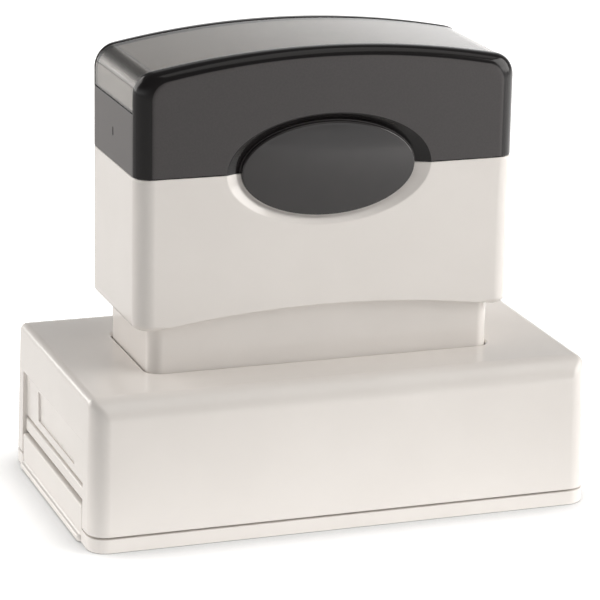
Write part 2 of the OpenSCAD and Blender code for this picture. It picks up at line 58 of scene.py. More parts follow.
def named(name):
    # the newest primitive, with its place, turn and size put into its mesh
    piece = bpy.context.object
    piece.name = piece.data.name = name
    bpy.ops.object.transform_apply(location=True, rotation=True, scale=True)
    return piece


def block(name, low, high):
    low, high = Vector(low), Vector(high)
    bpy.ops.object.select_all(action="DESELECT")
    bpy.ops.mesh.primitive_cube_add(size=1, location=(low + high) / 2 * mm)
    bpy.context.object.scale = (high - low) * mm
    return named(name)


def rod(name, start, end, radius, endRadius=None, sides=64):
    start, end = Vector(start), Vector(end)
    bpy.ops.object.select_all(action="DESELECT")
    bpy.ops.mesh.primitive_cone_add(
        vertices=sides, radius1=radius * mm, radius2=(endRadius or radius) * mm,
        depth=(end - start).length * mm, location=(start + end) / 2 * mm,
        rotation=(end - start).to_track_quat("Z", "Y").to_euler(),
    )
    return named(name)


def edit(piece, kind="VERT"):
    only(piece)
    bpy.ops.object.mode_set(mode="EDIT")
    bpy.ops.mesh.select_mode(type=kind)


def leave():
    bpy.ops.object.mode_set(mode="OBJECT")


def pick(piece, kind, test):
    edit(piece, kind)
    bpy.ops.mesh.select_all(action="DESELECT")
    mesh = bmesh.from_edit_mesh(piece.data)
    for part in {"VERT": mesh.verts, "EDGE": mesh.edges, "FACE": mesh.faces}[kind]:
        if test(part):
            part.select_set(True)
    mesh.select_flush_mode()
    bmesh.update_edit_mesh(piece.data)


def centre(part):
    # middle of a corner, edge or face, in millimetres
    corners = [part] if isinstance(part, bmesh.types.BMVert) else part.verts
    return sum((corner.co for corner in corners), Vector()) / len(corners) / mm


def near(a, b):
    return abs(a - b) < 0.02  # millimetres


def upright(edge):
    return abs((edge.verts[1].co - edge.verts[0].co).normalized().z) > 0.99


def roundOff(piece, radius, steps, test):
    pick(piece, "EDGE", test)
    bpy.ops.mesh.bevel(offset=radius * mm, segments=steps, profile=0.5, affect="EDGES")
    leave()


def push(x, y, z):
    # extrudes what is selected
    bpy.ops.mesh.extrude_region_move(TRANSFORM_OT_translate={"value": (x * mm, y * mm, z * mm)})


def stretch(x, y, z, about=(0, 0, 0)):
    # scales what is selected, about a place in millimetres
    bpy.ops.transform.resize(value=(x, y, z), center_override=[part * mm for part in about])


def stretchAll(piece, scale, about):
    edit(piece)
    bpy.ops.mesh.select_all(action="SELECT")
    stretch(*scale, about)
    leave()


def sink(piece, level, inset, to):
    # insets the flat face at a level and pushes what is inside it to another level
    pick(piece, "FACE", lambda face: abs(face.normal.z) > 0.99 and near(centre(face).z, level))
    bpy.ops.mesh.inset(thickness=inset * mm, depth=0)
    push(0, 0, to - level)
    leave()


def combine(piece, tool, how, solver="EXACT"):
    only(piece)
    change = piece.modifiers.new("change", "BOOLEAN")
    change.object, change.operation, change.solver = tool, how, solver
    bpy.ops.object.modifier_apply(modifier=change.name)
    bpy.data.meshes.remove(tool.data)


def cut(piece, tool):
    combine(piece, tool, "DIFFERENCE")


def join(piece, tool):
    combine(piece, tool, "UNION")


def drawn(name, start, moves, depth):
    # an outline drawn in XZ from a point, by lines to (x, z) and arcs round (x, z), and pushed back along Y
    x, y, z = start
    bpy.ops.object.select_all(action="DESELECT")
    bpy.ops.mesh.primitive_plane_add(size=mm, location=Vector(start) * mm)
    piece = named(name)
    edit(piece)
    bpy.ops.mesh.select_all(action="SELECT")
    bpy.ops.mesh.merge(type="CENTER")
    for kind, toX, toZ, *arc in moves:
        if kind == "line":
            push(toX - x, 0, toZ - z)
            x, z = toX, toZ
        else:
            angle, steps = arc
            bpy.ops.mesh.spin(steps=steps, angle=angle, center=(toX * mm, y * mm, toZ * mm), axis=(0, 1, 0))
            x, z = (
                toX + (x - toX) * math.cos(angle) - (z - toZ) * math.sin(angle),
                toZ + (x - toX) * math.sin(angle) + (z - toZ) * math.cos(angle),
            )
    bpy.ops.mesh.select_all(action="SELECT")
    bpy.ops.mesh.remove_doubles(threshold=0.01 * mm)
    bpy.ops.mesh.edge_face_add()
    push(0, depth, 0)
    bpy.ops.mesh.select_all(action="SELECT")
    bpy.ops.mesh.normals_make_consistent(inside=False)
    leave()
    return piece


def roundedBlock(name, halfLength, halfDepth, foot, top, radius, steps=10):
    piece = block(name, (-halfLength, -halfDepth, foot), (halfLength, halfDepth, top))
    roundOff(piece, radius, steps, upright)
    return piece


def softEdges(piece, width, steps=2, angle=20):
    only(piece)
    soft = piece.modifiers.new("soft", "BEVEL")
    soft.width, soft.segments, soft.angle_limit = width * mm, steps, math.radians(angle)
    soft.limit_method, soft.use_clamp_overlap = "ANGLE", False
    bpy.ops.object.modifier_apply(modifier=soft.name)


def smooth(piece, angle=50):
    only(piece)
    bpy.ops.object.shade_smooth_by_angle(angle=math.radians(angle))
    even = piece.modifiers.new("even", "WEIGHTED_NORMAL")
    even.keep_sharp = True
    bpy.ops.object.modifier_apply(modifier=even.name)


def clean(piece):
    edit(piece)
    bpy.ops.mesh.select_all(action="SELECT")
    bpy.ops.mesh.remove_doubles(threshold=0.003 * mm)
    bpy.ops.mesh.dissolve_degenerate(threshold=0.001 * mm)
    leave()


def finishPiece(piece, body, replaced, finish):
    clean(piece)
    smooth(piece)
    piece.data.materials.clear()
    piece.data.materials.append(finish)
    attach(piece, body)
    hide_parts(*replaced)
    print("made", piece.name, "faces:", len(piece.data.polygons))


# materials

class Wire:
    # a socket in a material, so that shader sums are written as sums
    def __init__(self, tree, socket=None):
        self.tree, self.socket = tree, socket

    def node(self, kind, settings, sockets, out=0):
        made = self.tree.nodes.new(kind)
        for name, value in settings.items():
            setattr(made, name, value)
        for name, value in sockets.items():
            if isinstance(value, Wire):
                self.tree.links.new(value.socket, made.inputs[name])
            else:
                made.inputs[name].default_value = value
        return Wire(self.tree, made.outputs[out] if made.outputs else None)

    def beside(self, name):
        # another output of the same node
        return Wire(self.tree, self.socket.node.outputs[name])

    def sum(self, how, first, second=0.0):
        return self.node("ShaderNodeMath", {"operation": how}, {0: first, 1: second})

    def __add__(self, other):
        return self.sum("ADD", self, other)

    def __mul__(self, other):
        return self.sum("MULTIPLY", self, other)

    def __sub__(self, other):
        return self.sum("SUBTRACT", self, other)

    def __rsub__(self, other):
        return self.sum("SUBTRACT", other, self)

    __radd__, __rmul__ = __add__, __mul__

    def between(self, low, high):
        # 0 below low, 1 above high, eased between
        return self.node(
            "ShaderNodeMapRange", {"interpolation_type": "SMOOTHSTEP"},
            {0: self, 1: low, 2: high, 3: 0.0, 4: 1.0},
        )


def newFinish(name):
    finish = bpy.data.materials.new(name)
    finish.use_nodes = True
    finish.node_tree.nodes.clear()
    return finish, Wire(finish.node_tree).node("ShaderNodeTexCoord", {}, {}, "Object")


def noise(place, size, detail=2.0, roughness=0.5):
    # size is that of one blotch, in millimetres
    return place.node(
        "ShaderNodeTexNoise", {},
        {"Vector": place, "Scale": 1 / (size * mm), "Detail": detail, "Roughness": roughness},
    )


def mixColours(mask, first, second):
    return mask.node("ShaderNodeMix", {"data_type": "RGBA"}, {0: mask, 6: (*first, 1), 7: (*second, 1)}, 2)


def bump(height, strength, depth):
    return height.node("ShaderNodeBump", {}, {"Strength": strength, "Distance": depth * mm, "Height": height})


def closeFinish(place, sockets):
    shader = place.node("ShaderNodeBsdfPrincipled", {}, sockets)
    place.node("ShaderNodeOutputMaterial", {}, {"Surface": shader})


def plastic(name, light, dark, gloss, grainSize, grainDepth, mottle=14):
    # moulded: a faint mottle in the colour, a gloss that varies a little, and the mould's own grain
    finish, place = newFinish(name)
    cloud = noise(place, mottle, 3.0)
    grain = noise(place, grainSize, 2.0)
    closeFinish(place, {
        "Base Color": mixColours(cloud.between(0.35, 0.65), light, dark),
        "Roughness": gloss + 0.08 * (cloud - 0.5) + 0.06 * (grain - 0.5),
        "Normal": bump(grain, 0.35, grainDepth),
        "IOR": 1.5,
    })
    return finish


# paler and darker colour, roughness, then the grain's size and depth in millimetres
creamPlastic = plastic("creamPlastic", (0.822, 0.784, 0.747), (0.807, 0.769, 0.732), 0.15, 0.9, 0.003)
greyPlastic = plastic("greyPlastic", (0.27, 0.27, 0.27), (0.24, 0.24, 0.245), 0.45, 0.5, 0.01)
framePlastic = plastic("framePlastic", (0.033, 0.033, 0.036), (0.027, 0.027, 0.029), 0.42, 0.5, 0.01)

charcoalLook = {
    # rim: the darker colour of the rounds and the top, partly painted shade of a dark reflection
    "flat": (0.034, 0.0305, 0.031), "flatDark": (0.027, 0.0245, 0.025), "rim": (0.012, 0.0108, 0.011),
    "flatFrom": (0.97, 0.995), "flatGloss": 0.5, "rimGloss": 0.16, "grain": 0.32, "grainDepth": 0.012,
    "ior": 1.34, "coat": 0.7, "coatGloss": 0.45, "coatTint": (1, 0.96, 0.945, 1),
}


def charcoal():
    # spark-eroded grain on the flats, polished rounds; the rounds and the top are coloured darker, partly for
    # the polish and partly as painted shade of the dark surroundings they reflect
    look = charcoalLook
    finish, place = newFinish("charcoalPlastic")
    normal = place.node("ShaderNodeTexCoord", {}, {}, "Normal")
    parts = normal.node("ShaderNodeSeparateXYZ", {}, {0: normal})
    sides = [axis.sum("ABSOLUTE", axis) for axis in (parts.beside("X"), parts.beside("Y"))]
    flat = parts.sum("MAXIMUM", *sides).between(*look["flatFrom"])
    grain = noise(place, look["grain"], 3.0, 0.6)
    grained = mixColours(grain.between(0.35, 0.65), look["flatDark"], look["flat"])
    # painted shade: away from the flats the colour turns to the darker rim colour
    tint = place.node("ShaderNodeMix", {"data_type": "RGBA"}, {0: flat, 6: (*look["rim"], 1), 7: grained}, 2)
    closeFinish(place, {
        "Base Color": tint,
        "Roughness": look["rimGloss"] + flat * (look["flatGloss"] - look["rimGloss"]) + 0.05 * (grain - 0.5),
        "Normal": bump(grain * flat, 0.4, look["grainDepth"]),
        "IOR": look["ior"],
        "Coat Weight": flat * look["coat"],
        "Coat Roughness": look["coatGloss"],
        "Coat Tint": look["coatTint"],
    })
    return finish


charcoalPlastic = charcoal()
badgeGloss = plastic("badgeGloss", (0.030, 0.027, 0.027), (0.026, 0.024, 0.024), 0.1, 6.0, 0.004)


def clear():
    finish, place = newFinish("clearWindow")
    swirl = noise(place, 9, 2.0)
    closeFinish(place, {
        "Base Color": mixColours(swirl.between(0.3, 0.7), (0.89, 0.85, 0.805), (0.91, 0.87, 0.825)),
        "Roughness": 0.07 + 0.05 * (swirl - 0.5),
        "Normal": bump(swirl, 0.1, 0.01),
        "Transmission Weight": 1.0,
        "IOR": 1.49,
    })
    return finish


clearWindow = clear()


def paper():
    finish, place = newFinish("labelPaper")
    fibre = noise(place, 0.35, 5.0, 0.7)
    closeFinish(place, {
        "Base Color": mixColours(fibre.between(0.3, 0.7), (0.285, 0.262, 0.238), (0.325, 0.30, 0.273)),
        "Roughness": 0.85 + 0.1 * (fibre - 0.5),
        "Normal": bump(fibre, 0.3, 0.02),
    })
    return finish


labelPaper = paper()


def metal(name, light, dark, gloss):
    # turned metal: fine rings of the tool round Z
    finish, place = newFinish(name)
    rings = place.node(
        "ShaderNodeTexWave", {"wave_type": "RINGS", "rings_direction": "Z"},
        {"Vector": place, "Scale": 900.0, "Distortion": 3.0, "Detail": 2.0},
    )
    stain = noise(place, 3, 3.0)
    closeFinish(place, {
        "Base Color": mixColours(stain.between(0.35, 0.65), light, dark),
        "Metallic": 1.0,
        "Roughness": gloss + 0.12 * (stain - 0.5) + 0.05 * (rings - 0.5),
        "Normal": bump(rings, 0.15, 0.006),
    })
    return finish


steel = metal("steel", (0.58, 0.58, 0.6), (0.5, 0.5, 0.52), 0.28)
brass = metal("brass", (0.66, 0.48, 0.2), (0.58, 0.41, 0.16), 0.25)


def porous(name, light, dark, poreSize, poreDepth, gloss):
    # open cells: pits among paler walls, the pits painted darker as shade in them
    finish, place = newFinish(name)
    cells = place.node(
        "ShaderNodeTexVoronoi", {"feature": "F1"}, {"Vector": place, "Scale": 1 / (poreSize * mm)}
    )
    walls = cells.between(0.15, 0.6)
    closeFinish(place, {
        # painted shade: the sunken pits take the darker colour
        "Base Color": mixColours(walls, dark, light),
        "Roughness": gloss + 0.1 * (walls - 0.5),
        "Normal": bump(walls, 0.5, poreDepth),
    })
    return finish


inkFoam = porous("inkFoam", (0.012, 0.012, 0.016), (0.004, 0.004, 0.006), 0.5, 0.1, 0.55)
dieRubber = porous("dieRubber", (0.03, 0.03, 0.034), (0.018, 0.018, 0.021), 0.12, 0.02, 0.6)
adhesiveFilm = plastic("adhesiveFilm", (0.5, 0.44, 0.22), (0.46, 0.40, 0.2), 0.35, 1.5, 0.01)
print("materials ready:", len(bpy.data.materials))

for finish, names in (
    (greyPlastic, ("crossbar_left", "crossbar_right", "die_carriage")),
    (steel, ("crossbar_screws", "carriage_screws")),
    (brass, ("depth_screws",)),
    (adhesiveFilm, ("pad_film",)),
    (dieRubber, ("stamp_die",)),
    (framePlastic, ("die_frame",)),
):
    for name in names:
        nodes[name].data.materials.clear()
        nodes[name].data.materials.append(finish)


# base: a drafted box with round edges, hollow from below, with a collar round the neck

baseSize = {
    "half": (45, 26), "edge": 2.85, "top": 26.3, "draft": 1.25, "corner": 3.4, "round": 4, "endRound": 1.4,
    "least": 0.5, "steps": 18, "lip": 1.4, "foot": 1.3, "inside": 24.1, "soft": 0.1,
    "socket": (31.2, 12.6), "socketRound": 2.7, "socketEdge": 0.5, "collar": 1.6, "collarFoot": 18.85,
    "boss": (18, 18.7), "bossRadius": 2.85, "bossFoot": 18.55, "screwHole": 1.25, "screwTop": 24.55,
}

endSize = {  # what is let into each end wall: depth of the face from the middle, half width, foot and top
    "panel": (44.07, 20.1, 0.5, 17.9), "channel": (43.45, 20.1, 0.4, 9.75), "mark": (43.67, 12, 11.2, 16.6),
    "bar": (44.37, 19.75, 6.95, 9.35), "barFoot": 43, "barRound": 0.35, "out": 47,
}


def lost(radius, left):
    # how far a round of this radius has drawn in, where this much height is left
    return radius - math.sqrt(radius ** 2 - max(radius - left, 0) ** 2)


def baseOutside():
    # a drafted box whose top face is inset and raised in steps, less at the ends than at the sides
    size = baseSize
    top, edge, side = size["top"], size["edge"], size["round"]
    slope = math.tan(math.radians(size["draft"]))
    piece = roundedBlock("base_shell", *size["half"], edge, top - side, size["corner"])
    reach = lambda left: [
        half - slope * (top - left - edge) - lost(radius, left)
        for half, radius in zip(size["half"], (size["endRound"], side))
    ]
    inset = lambda left: min(lost(side, left), size["corner"] - size["least"])
    left, before = side, size["half"]
    pick(piece, "FACE", lambda face: face.normal.z > 0.99)
    for step in range(size["steps"] + 1):
        nextLeft = side * (1 - math.sin(math.pi / 2 * step / size["steps"]))
        after, draw = reach(nextLeft), inset(nextLeft) - inset(left)
        if step:
            bpy.ops.mesh.inset(thickness=draw * mm, depth=(left - nextLeft) * mm)
        stretch(*(half / (was - draw) for half, was in zip(after, before)), 1)
        left, before = nextLeft, after
    leave()
    return piece


def socketTool():
    # the neck's opening, which widens in a round at the top
    size = baseSize
    halfX, halfY = size["socket"]
    edge = size["socketEdge"]
    tool = roundedBlock("socket", halfX, halfY, size["foot"], size["top"] - edge, size["socketRound"])
    pick(tool, "FACE", lambda face: face.normal.z > 0.99)
    grown = risen = 0
    angles = [math.radians(angle) for angle in range(10, 90, 10)]
    flare = [(1 - math.cos(angle), math.sin(angle)) for angle in angles]
    for out, up in flare + [(2, 1.2)]:  # the last step ends above the top
        push(0, 0, edge * up - risen)
        stretch(*((half + edge * out) / (half + grown) for half in (halfX, halfY)), 1)
        grown, risen = edge * out, edge * up
    leave()
    return tool


def makeBase():
    size = baseSize
    piece = baseOutside()
    sink(piece, size["edge"], size["lip"], size["foot"])
    sink(piece, size["foot"], size["lip"], size["inside"])
    wallMiddle = (size["inside"] + size["top"]) / 2
    socketX, socketY = size["socket"]
    collar = size["collar"]
    join(piece, roundedBlock(
        "collar", socketX + collar, socketY + collar, size["collarFoot"], wallMiddle,
        size["socketRound"] + collar,
    ))
    bossX, bossY = size["boss"]
    places = [(x * bossX, y * bossY) for x in (-1, 1) for y in (-1, 1)]
    for x, y in places:
        join(piece, rod("boss", (x, y, size["bossFoot"]), (x, y, wallMiddle), size["bossRadius"]))
    for x, y in places:
        cut(piece, rod("hole", (x, y, size["bossFoot"] - 1), (x, y, size["screwTop"]), size["screwHole"]))
    cut(piece, socketTool())
    for side in (-1, 1):
        for name in ("panel", "channel", "mark"):
            face, halfWidth, foot, top = endSize[name]
            low, high = sorted((side * face, side * endSize["out"]))
            cut(piece, block(name, (low, -halfWidth, foot), (high, halfWidth, top)))
    softEdges(piece, size["soft"])
    for side in (-1, 1):
        face, halfWidth, foot, top = endSize["bar"]
        low, high = sorted((side * endSize["barFoot"], side * face))
        bar = block("bar", (low, -halfWidth, foot), (high, halfWidth, top))
        roundOff(bar, endSize["barRound"], 6, lambda edge: abs(centre(edge).x) > face - 0.1)
        join(piece, bar)
    finishPiece(piece, "base", ["base_skirt"], creamPlastic)


makeBase()


# dust cap: a tray with an ear and a finger bead at each end

capSize = {
    "half": (45, 26), "rim": 2.5, "round": 3.4, "steps": 12, "footRound": 0.3, "rimWall": 1.2, "floor": 1.3,
    "wellInset": 1.6, "well": 0.8, "soft": 0.12,
    "ear": (43.8, 44.95), "earHalf": 19.7, "earTop": 6.6, "earRound": 0.6, "earEdge": 0.4,
    "pocket": (44.9, 0.7), "bead": (45.08, 0.7), "beadRadius": 0.6, "cove": (45.63, 1.878), "coveRadius": 0.7,
    "beadBack": 44, "beadFlat": 18.6, "beadHalf": 19.5, "beadEnd": 0.4, "endSteps": 10,
}


def beadBar(side):
    # a hollow curve that turns into a round one, drawn in towards the ear at both ends
    size = capSize
    (beadX, beadZ), (coveX, coveZ) = size["bead"], size["cove"]
    turn = math.atan2(coveZ - beadZ, coveX - beadX)
    back = side * size["beadBack"]
    bar = drawn("bead", (side * (coveX - size["coveRadius"]), -size["beadFlat"], coveZ), (
        ("arc", side * coveX, coveZ, side * turn, 10),
        ("arc", side * beadX, beadZ, -side * (turn + math.pi / 2), 24),
        ("line", back, beadZ - size["beadRadius"]),
        ("line", back, coveZ),
    ), 2 * size["beadFlat"])
    steps, reach = size["endSteps"], size["beadHalf"] - size["beadFlat"]
    for end in (-1, 1):
        pick(bar, "FACE", lambda face: face.normal.y * end > 0.99)
        width, place = 1, 0
        for step in range(1, steps + 1):
            angle = math.pi / 2 * step / steps
            nextWidth = size["beadEnd"] + (1 - size["beadEnd"]) * math.cos(angle)
            nextPlace = reach * math.sin(angle)
            push(0, end * (nextPlace - place), 0)
            stretch(nextWidth / width, 1, 1, (back, 0, 0))
            width, place = nextWidth, nextPlace
        leave()
    return bar


def makeCap():
    size = capSize
    halfX, halfY = size["half"]
    earHalf, earTop = size["earHalf"], size["earTop"]
    piece = roundedBlock("cap_tray", halfX, halfY, 0, size["rim"], size["round"], size["steps"])
    roundOff(piece, size["footRound"], 5, lambda edge: near(centre(edge).z, 0))
    sink(piece, size["rim"], size["rimWall"], size["floor"])
    sink(piece, size["floor"], size["wellInset"], size["well"])
    softEdges(piece, size["soft"])
    for side in (-1, 1):
        pocketX, pocketFoot = size["pocket"]
        low, high = sorted((side * pocketX, side * (halfX + 1)))
        cut(piece, block("pocket", (low, -earHalf, pocketFoot), (high, earHalf, size["rim"] + 1)))
        low, high = sorted(side * x for x in size["ear"])
        ear = block("ear", (low, -earHalf, size["floor"] / 2), (high, earHalf, earTop))
        top = lambda edge: centre(edge).z > earTop - 0.1 and abs(centre(edge).y) > earHalf - 0.1
        roundOff(ear, size["earRound"], 6, top)
        outer = lambda edge: abs(centre(edge).x) > size["ear"][1] - 0.1 and centre(edge).z > size["floor"]
        roundOff(ear, size["earEdge"], 6, outer)
        softEdges(ear, size["soft"])
        join(piece, ear)
        join(piece, beadBar(side))
    finishPiece(piece, "cap", ["dust_cap"], creamPlastic)


makeCap()


# neck: a hollow stem with the deck, the ink wells, the tubes and the screw bosses

neckSize = {
    "half": (31, 12.4), "foot": 15.95, "top": 45.2, "deck": 43.2, "round": 2.5, "wall": 1.8, "soft": 0.35,
    "notch": (18, 5, 25.85), "tube": (26, 2.6, 1.6), "well": (2.8, 1.2),
    "boss": (27.15, 8.55, 2.85), "bossHole": 1.25, "bossTop": 22.55, "nut": (18, 7.8, 2.55), "nutHole": 1.55,
    "nutFoot": 39.2,
}


def makeNeck():
    size = neckSize
    foot, top, deck = size["foot"], size["top"], size["deck"]
    halfX, halfY = size["half"]
    deckMiddle = (deck + top) / 2
    piece = roundedBlock("neck_stem", halfX, halfY, foot, top, size["round"])
    roundOff(piece, size["soft"], 4, lambda edge: near(centre(edge).z, top))
    sink(piece, foot, size["wall"], deck)
    tubeX, tubeRadius, tubeBore = size["tube"]
    bossX, bossY, bossRadius = size["boss"]
    nutX, nutY, nutRadius = size["nut"]
    notchX, notchHalf, notchTop = size["notch"]
    wellRadius, wellDepth = size["well"]
    bosses = [(x * bossX, y * bossY) for x in (-1, 1) for y in (-1, 1)]
    for x, y in bosses:
        join(piece, rod("boss", (x, y, foot), (x, y, deckMiddle), bossRadius))
    for side in (-1, 1):
        join(piece, rod("tube", (side * tubeX, 0, foot), (side * tubeX, 0, deckMiddle), tubeRadius))
        nut = (side * nutX, nutY)
        join(piece, rod("nut", (*nut, size["nutFoot"]), (*nut, deckMiddle), nutRadius))
    for side in (-1, 1):
        cut(piece, block(
            "notch", (side * notchX - notchHalf, -halfY - 1, foot - 1),
            (side * notchX + notchHalf, halfY + 1, notchTop),
        ))
        cut(piece, rod("bore", (side * tubeX, 0, foot - 1), (side * tubeX, 0, top + 1), tubeBore))
        cut(piece, rod(
            "well", (side * tubeX, 0, top - wellDepth), (side * tubeX, 0, top + wellDepth),
            tubeBore, 2 * wellRadius - tubeBore,
        ))
        nut = (side * nutX, nutY)
        cut(piece, rod("thread", (*nut, size["nutFoot"] - 1), (*nut, top + 1), size["nutHole"]))
    for x, y in bosses:
        cut(piece, rod("hole", (x, y, foot - 1), (x, y, size["bossTop"]), size["bossHole"]))
    finishPiece(piece, "plunger", ["neck"], creamPlastic)


makeNeck()


# handle: the outline of the crown is drawn from the front and pushed back

handleSize = {
    "half": (33.9, 14.45), "foot": 34.2, "seam": 60.5, "crown": 81.3, "crownRadius": 160, "corner": 4,
    "cornerSteps": 12, "crownSteps": 40, "round": 3.3, "roundSteps": 12, "crownEdge": 1.8, "steps": 14,
    "soft": 0.2, "socket": (31.2, 12.6), "socketRound": 2.7, "endRound": 1.1,
    "archRadius": 193.45, "archTop": 36.7, "rib": (12, 0.9), "ribBite": 0.9, "ribFoot": 45.2, "ribTop": 57.35,
    "tongue": 0.15, "tongueFoot": 57.5, "hollow": (29.9, 10.45), "hollowRound": 1.25, "roof": 3, "above": 90,
    "latch": (65.8, 0.25, 0.8, 0.8),  # level, half width, half height and depth of the hole
    "dimple": (0.5, 1.9, 0.1, 0.8),  # half width, half height, depth, and how far out its ball stands
}
windowSize = {
    "band": 11.55, "half": 11.4, "foot": 71.3, "sink": 0.12, "wall": 1, "floor": 1.3, "soft": 0.12,
    "labelHalf": (29.8, 10.5), "labelSink": 1.15, "labelThick": 0.12,
}
badgeSize = {
    "half": (15.5, 8.1), "rim": 0.5, "shoulder": 0.35, "shoulderSteps": 8, "rise": 0.72, "domeSteps": 20,
    "dish": (18.25, 9.55), "dishFoot": (15.8, 8.4), "depth": 1.2, "sides": 128,
}


def crownBlock(name, inset, halfDepth, foot):
    size = handleSize
    half = size["half"][0] - size["corner"]
    middle = size["crown"] - size["crownRadius"]
    rise = math.sqrt((size["crownRadius"] - size["corner"]) ** 2 - half ** 2)
    lean = math.atan2(rise, half)
    cornerZ = middle + rise
    outer = size["half"][0] - inset
    return drawn(name, (outer, -halfDepth, foot), (
        ("line", outer, cornerZ),
        ("arc", half, cornerZ, lean, size["cornerSteps"]),
        ("arc", 0, middle, math.pi - 2 * lean, size["crownSteps"]),
        ("arc", -half, cornerZ, lean, size["cornerSteps"]),
        ("line", -outer, foot),
    ), 2 * halfDepth)


def dishTool():
    # an oval cone in front of the seam, wide at the face of the handle
    size = badgeSize
    face, seam = -handleSize["half"][1], handleSize["seam"]
    tool = rod("dish", (0, face + size["depth"], seam), (0, face - 1, seam), 1, sides=size["sides"])
    slope = [(a - b) / size["depth"] for a, b in zip(size["dish"], size["dishFoot"])]
    for level, grow in ((face + size["depth"], 0), (face - 1, size["depth"] + 1)):
        halfX, halfZ = (foot + grow * rate for foot, rate in zip(size["dishFoot"], slope))
        pick(tool, "VERT", lambda corner: near(centre(corner).y, level))
        stretch(halfX, 1, halfZ, (0, 0, seam))
        leave()
    return tool


def makeLowerHandle():
    size = handleSize
    halfX, halfY = size["half"]
    foot, seam = size["foot"], size["seam"]
    piece = roundedBlock("handle_skirt", halfX, halfY, foot, seam, size["round"], size["roundSteps"])
    endEdge = lambda edge: near(centre(edge).z, foot) and abs(centre(edge).x) > halfX - size["round"]
    roundOff(piece, size["endRound"], 5, endEdge)
    cut(piece, roundedBlock("socket", *size["socket"], foot - 1, seam + 1, size["socketRound"]))
    ribX, ribHalf = size["rib"]
    ribReach = size["socket"][1] + size["ribBite"]
    for side in (-1, 1):
        join(piece, block(
            "rib", (side * ribX - ribHalf, -ribReach, size["ribFoot"]),
            (side * ribX + ribHalf, ribReach, size["ribTop"]),
        ))
    archZ = size["archTop"] - size["archRadius"]
    cut(piece, rod("arch", (0, -halfY - 1, archZ), (0, halfY + 1, archZ), size["archRadius"], sides=720))
    cut(piece, dishTool())
    softEdges(piece, size["soft"])
    finishPiece(piece, "handle", ["lower_handle"], creamPlastic)


makeLowerHandle()


def roundFace(piece, side):
    # pushes the front or back face out in steps that draw it in, more at the ends than along the crown
    size = handleSize
    height = size["crown"] - size["seam"]
    reach = lambda left: (
        size["half"][0] - lost(size["round"], left), height - lost(size["crownEdge"], left)
    )
    left, wide, high = size["round"], *reach(size["round"])
    pick(piece, "FACE", lambda face: face.normal.y * side > 0.99)
    for step in range(1, size["steps"] + 1):
        nextLeft = size["round"] * (1 - math.sin(math.pi / 2 * step / size["steps"]))
        nextWide, nextHigh = reach(nextLeft)
        push(0, side * (left - nextLeft), 0)
        stretch(nextWide / wide, 1, nextHigh / high, (0, 0, size["seam"]))
        left, wide, high = nextLeft, nextWide, nextHigh
    leave()


def latchMark(piece, side):
    # a shallow oval dimple with a small oval hole in the middle of it
    size = handleSize
    face = side * size["half"][0]
    level, halfY, halfZ, depth = size["latch"]
    dimpleY, dimpleZ, dimpleDepth, sunk = size["dimple"]
    thick, spread = dimpleDepth / (1 - sunk), math.sqrt(1 - sunk ** 2)
    bpy.ops.object.select_all(action="DESELECT")
    bpy.ops.mesh.primitive_uv_sphere_add(
        segments=48, ring_count=32, radius=1, location=((face + side * sunk * thick) * mm, 0, level * mm)
    )
    bpy.context.object.scale = Vector((thick, dimpleY / spread, dimpleZ / spread)) * mm
    combine(piece, named("dimple"), "DIFFERENCE", "FAST")
    hole = rod("hole", (face - side * depth, 0, level), (face + side, 0, level), 1, sides=32)
    stretchAll(hole, (1, halfY, halfZ), (0, 0, level))
    combine(piece, hole, "DIFFERENCE", "FAST")


def makeUpperHandle():
    size = handleSize
    halfX, halfY = size["half"]
    seam, foot = size["seam"], size["tongueFoot"]
    piece = crownBlock("handle_crown", 0, halfY - size["round"], seam)
    for side in (-1, 1):
        roundFace(piece, side)
    tongueX, tongueY = (half - size["tongue"] for half in size["socket"])
    join(piece, roundedBlock(
        "tongue", tongueX, tongueY, foot, seam + 1, size["socketRound"] - size["tongue"]
    ))
    hollow = roundedBlock("hollow", *size["hollow"], foot - 1, size["crown"], size["hollowRound"])
    combine(hollow, crownBlock("roof", size["roof"], halfY, foot - 2), "INTERSECT")
    cut(piece, hollow)
    bandHalf, bandFoot = windowSize["band"], windowSize["foot"]
    band = block("band", (-halfX - 2, -bandHalf, bandFoot), (halfX + 2, bandHalf, size["above"]))
    cut(band, crownBlock("bed", windowSize["floor"], halfY, bandFoot - 5))
    cut(piece, band)
    cut(piece, dishTool())
    softEdges(piece, size["soft"])
    for side in (-1, 1):
        latchMark(piece, side)
    finishPiece(piece, "handle", ["upper_handle"], charcoalPlastic)


makeUpperHandle()


def crownStrip(name, halfDepth, depth, thick):
    strip = crownBlock(name, depth, halfDepth, windowSize["foot"])
    cut(strip, crownBlock("under", depth + thick, halfDepth + 1, windowSize["foot"] - 1))
    return strip


def makeWindow():
    size = windowSize
    piece = crownStrip("crown_window", size["half"], size["sink"], size["wall"])
    softEdges(piece, size["soft"])
    finishPiece(piece, "window", ["label_window"], clearWindow)


makeWindow()


def makeLabel():
    size = windowSize
    halfX, halfY = size["labelHalf"]
    piece = crownStrip("paper_slip", halfY, size["labelSink"], size["labelThick"])
    trim = block("trim", (-halfX, -halfY - 1, size["foot"]), (halfX, halfY + 1, handleSize["above"]))
    combine(piece, trim, "INTERSECT")
    finishPiece(piece, "handle", ["index_label"], labelPaper)


makeLabel()


# badge: an oval disc whose front is inset into a round shoulder and then raised into a low dome

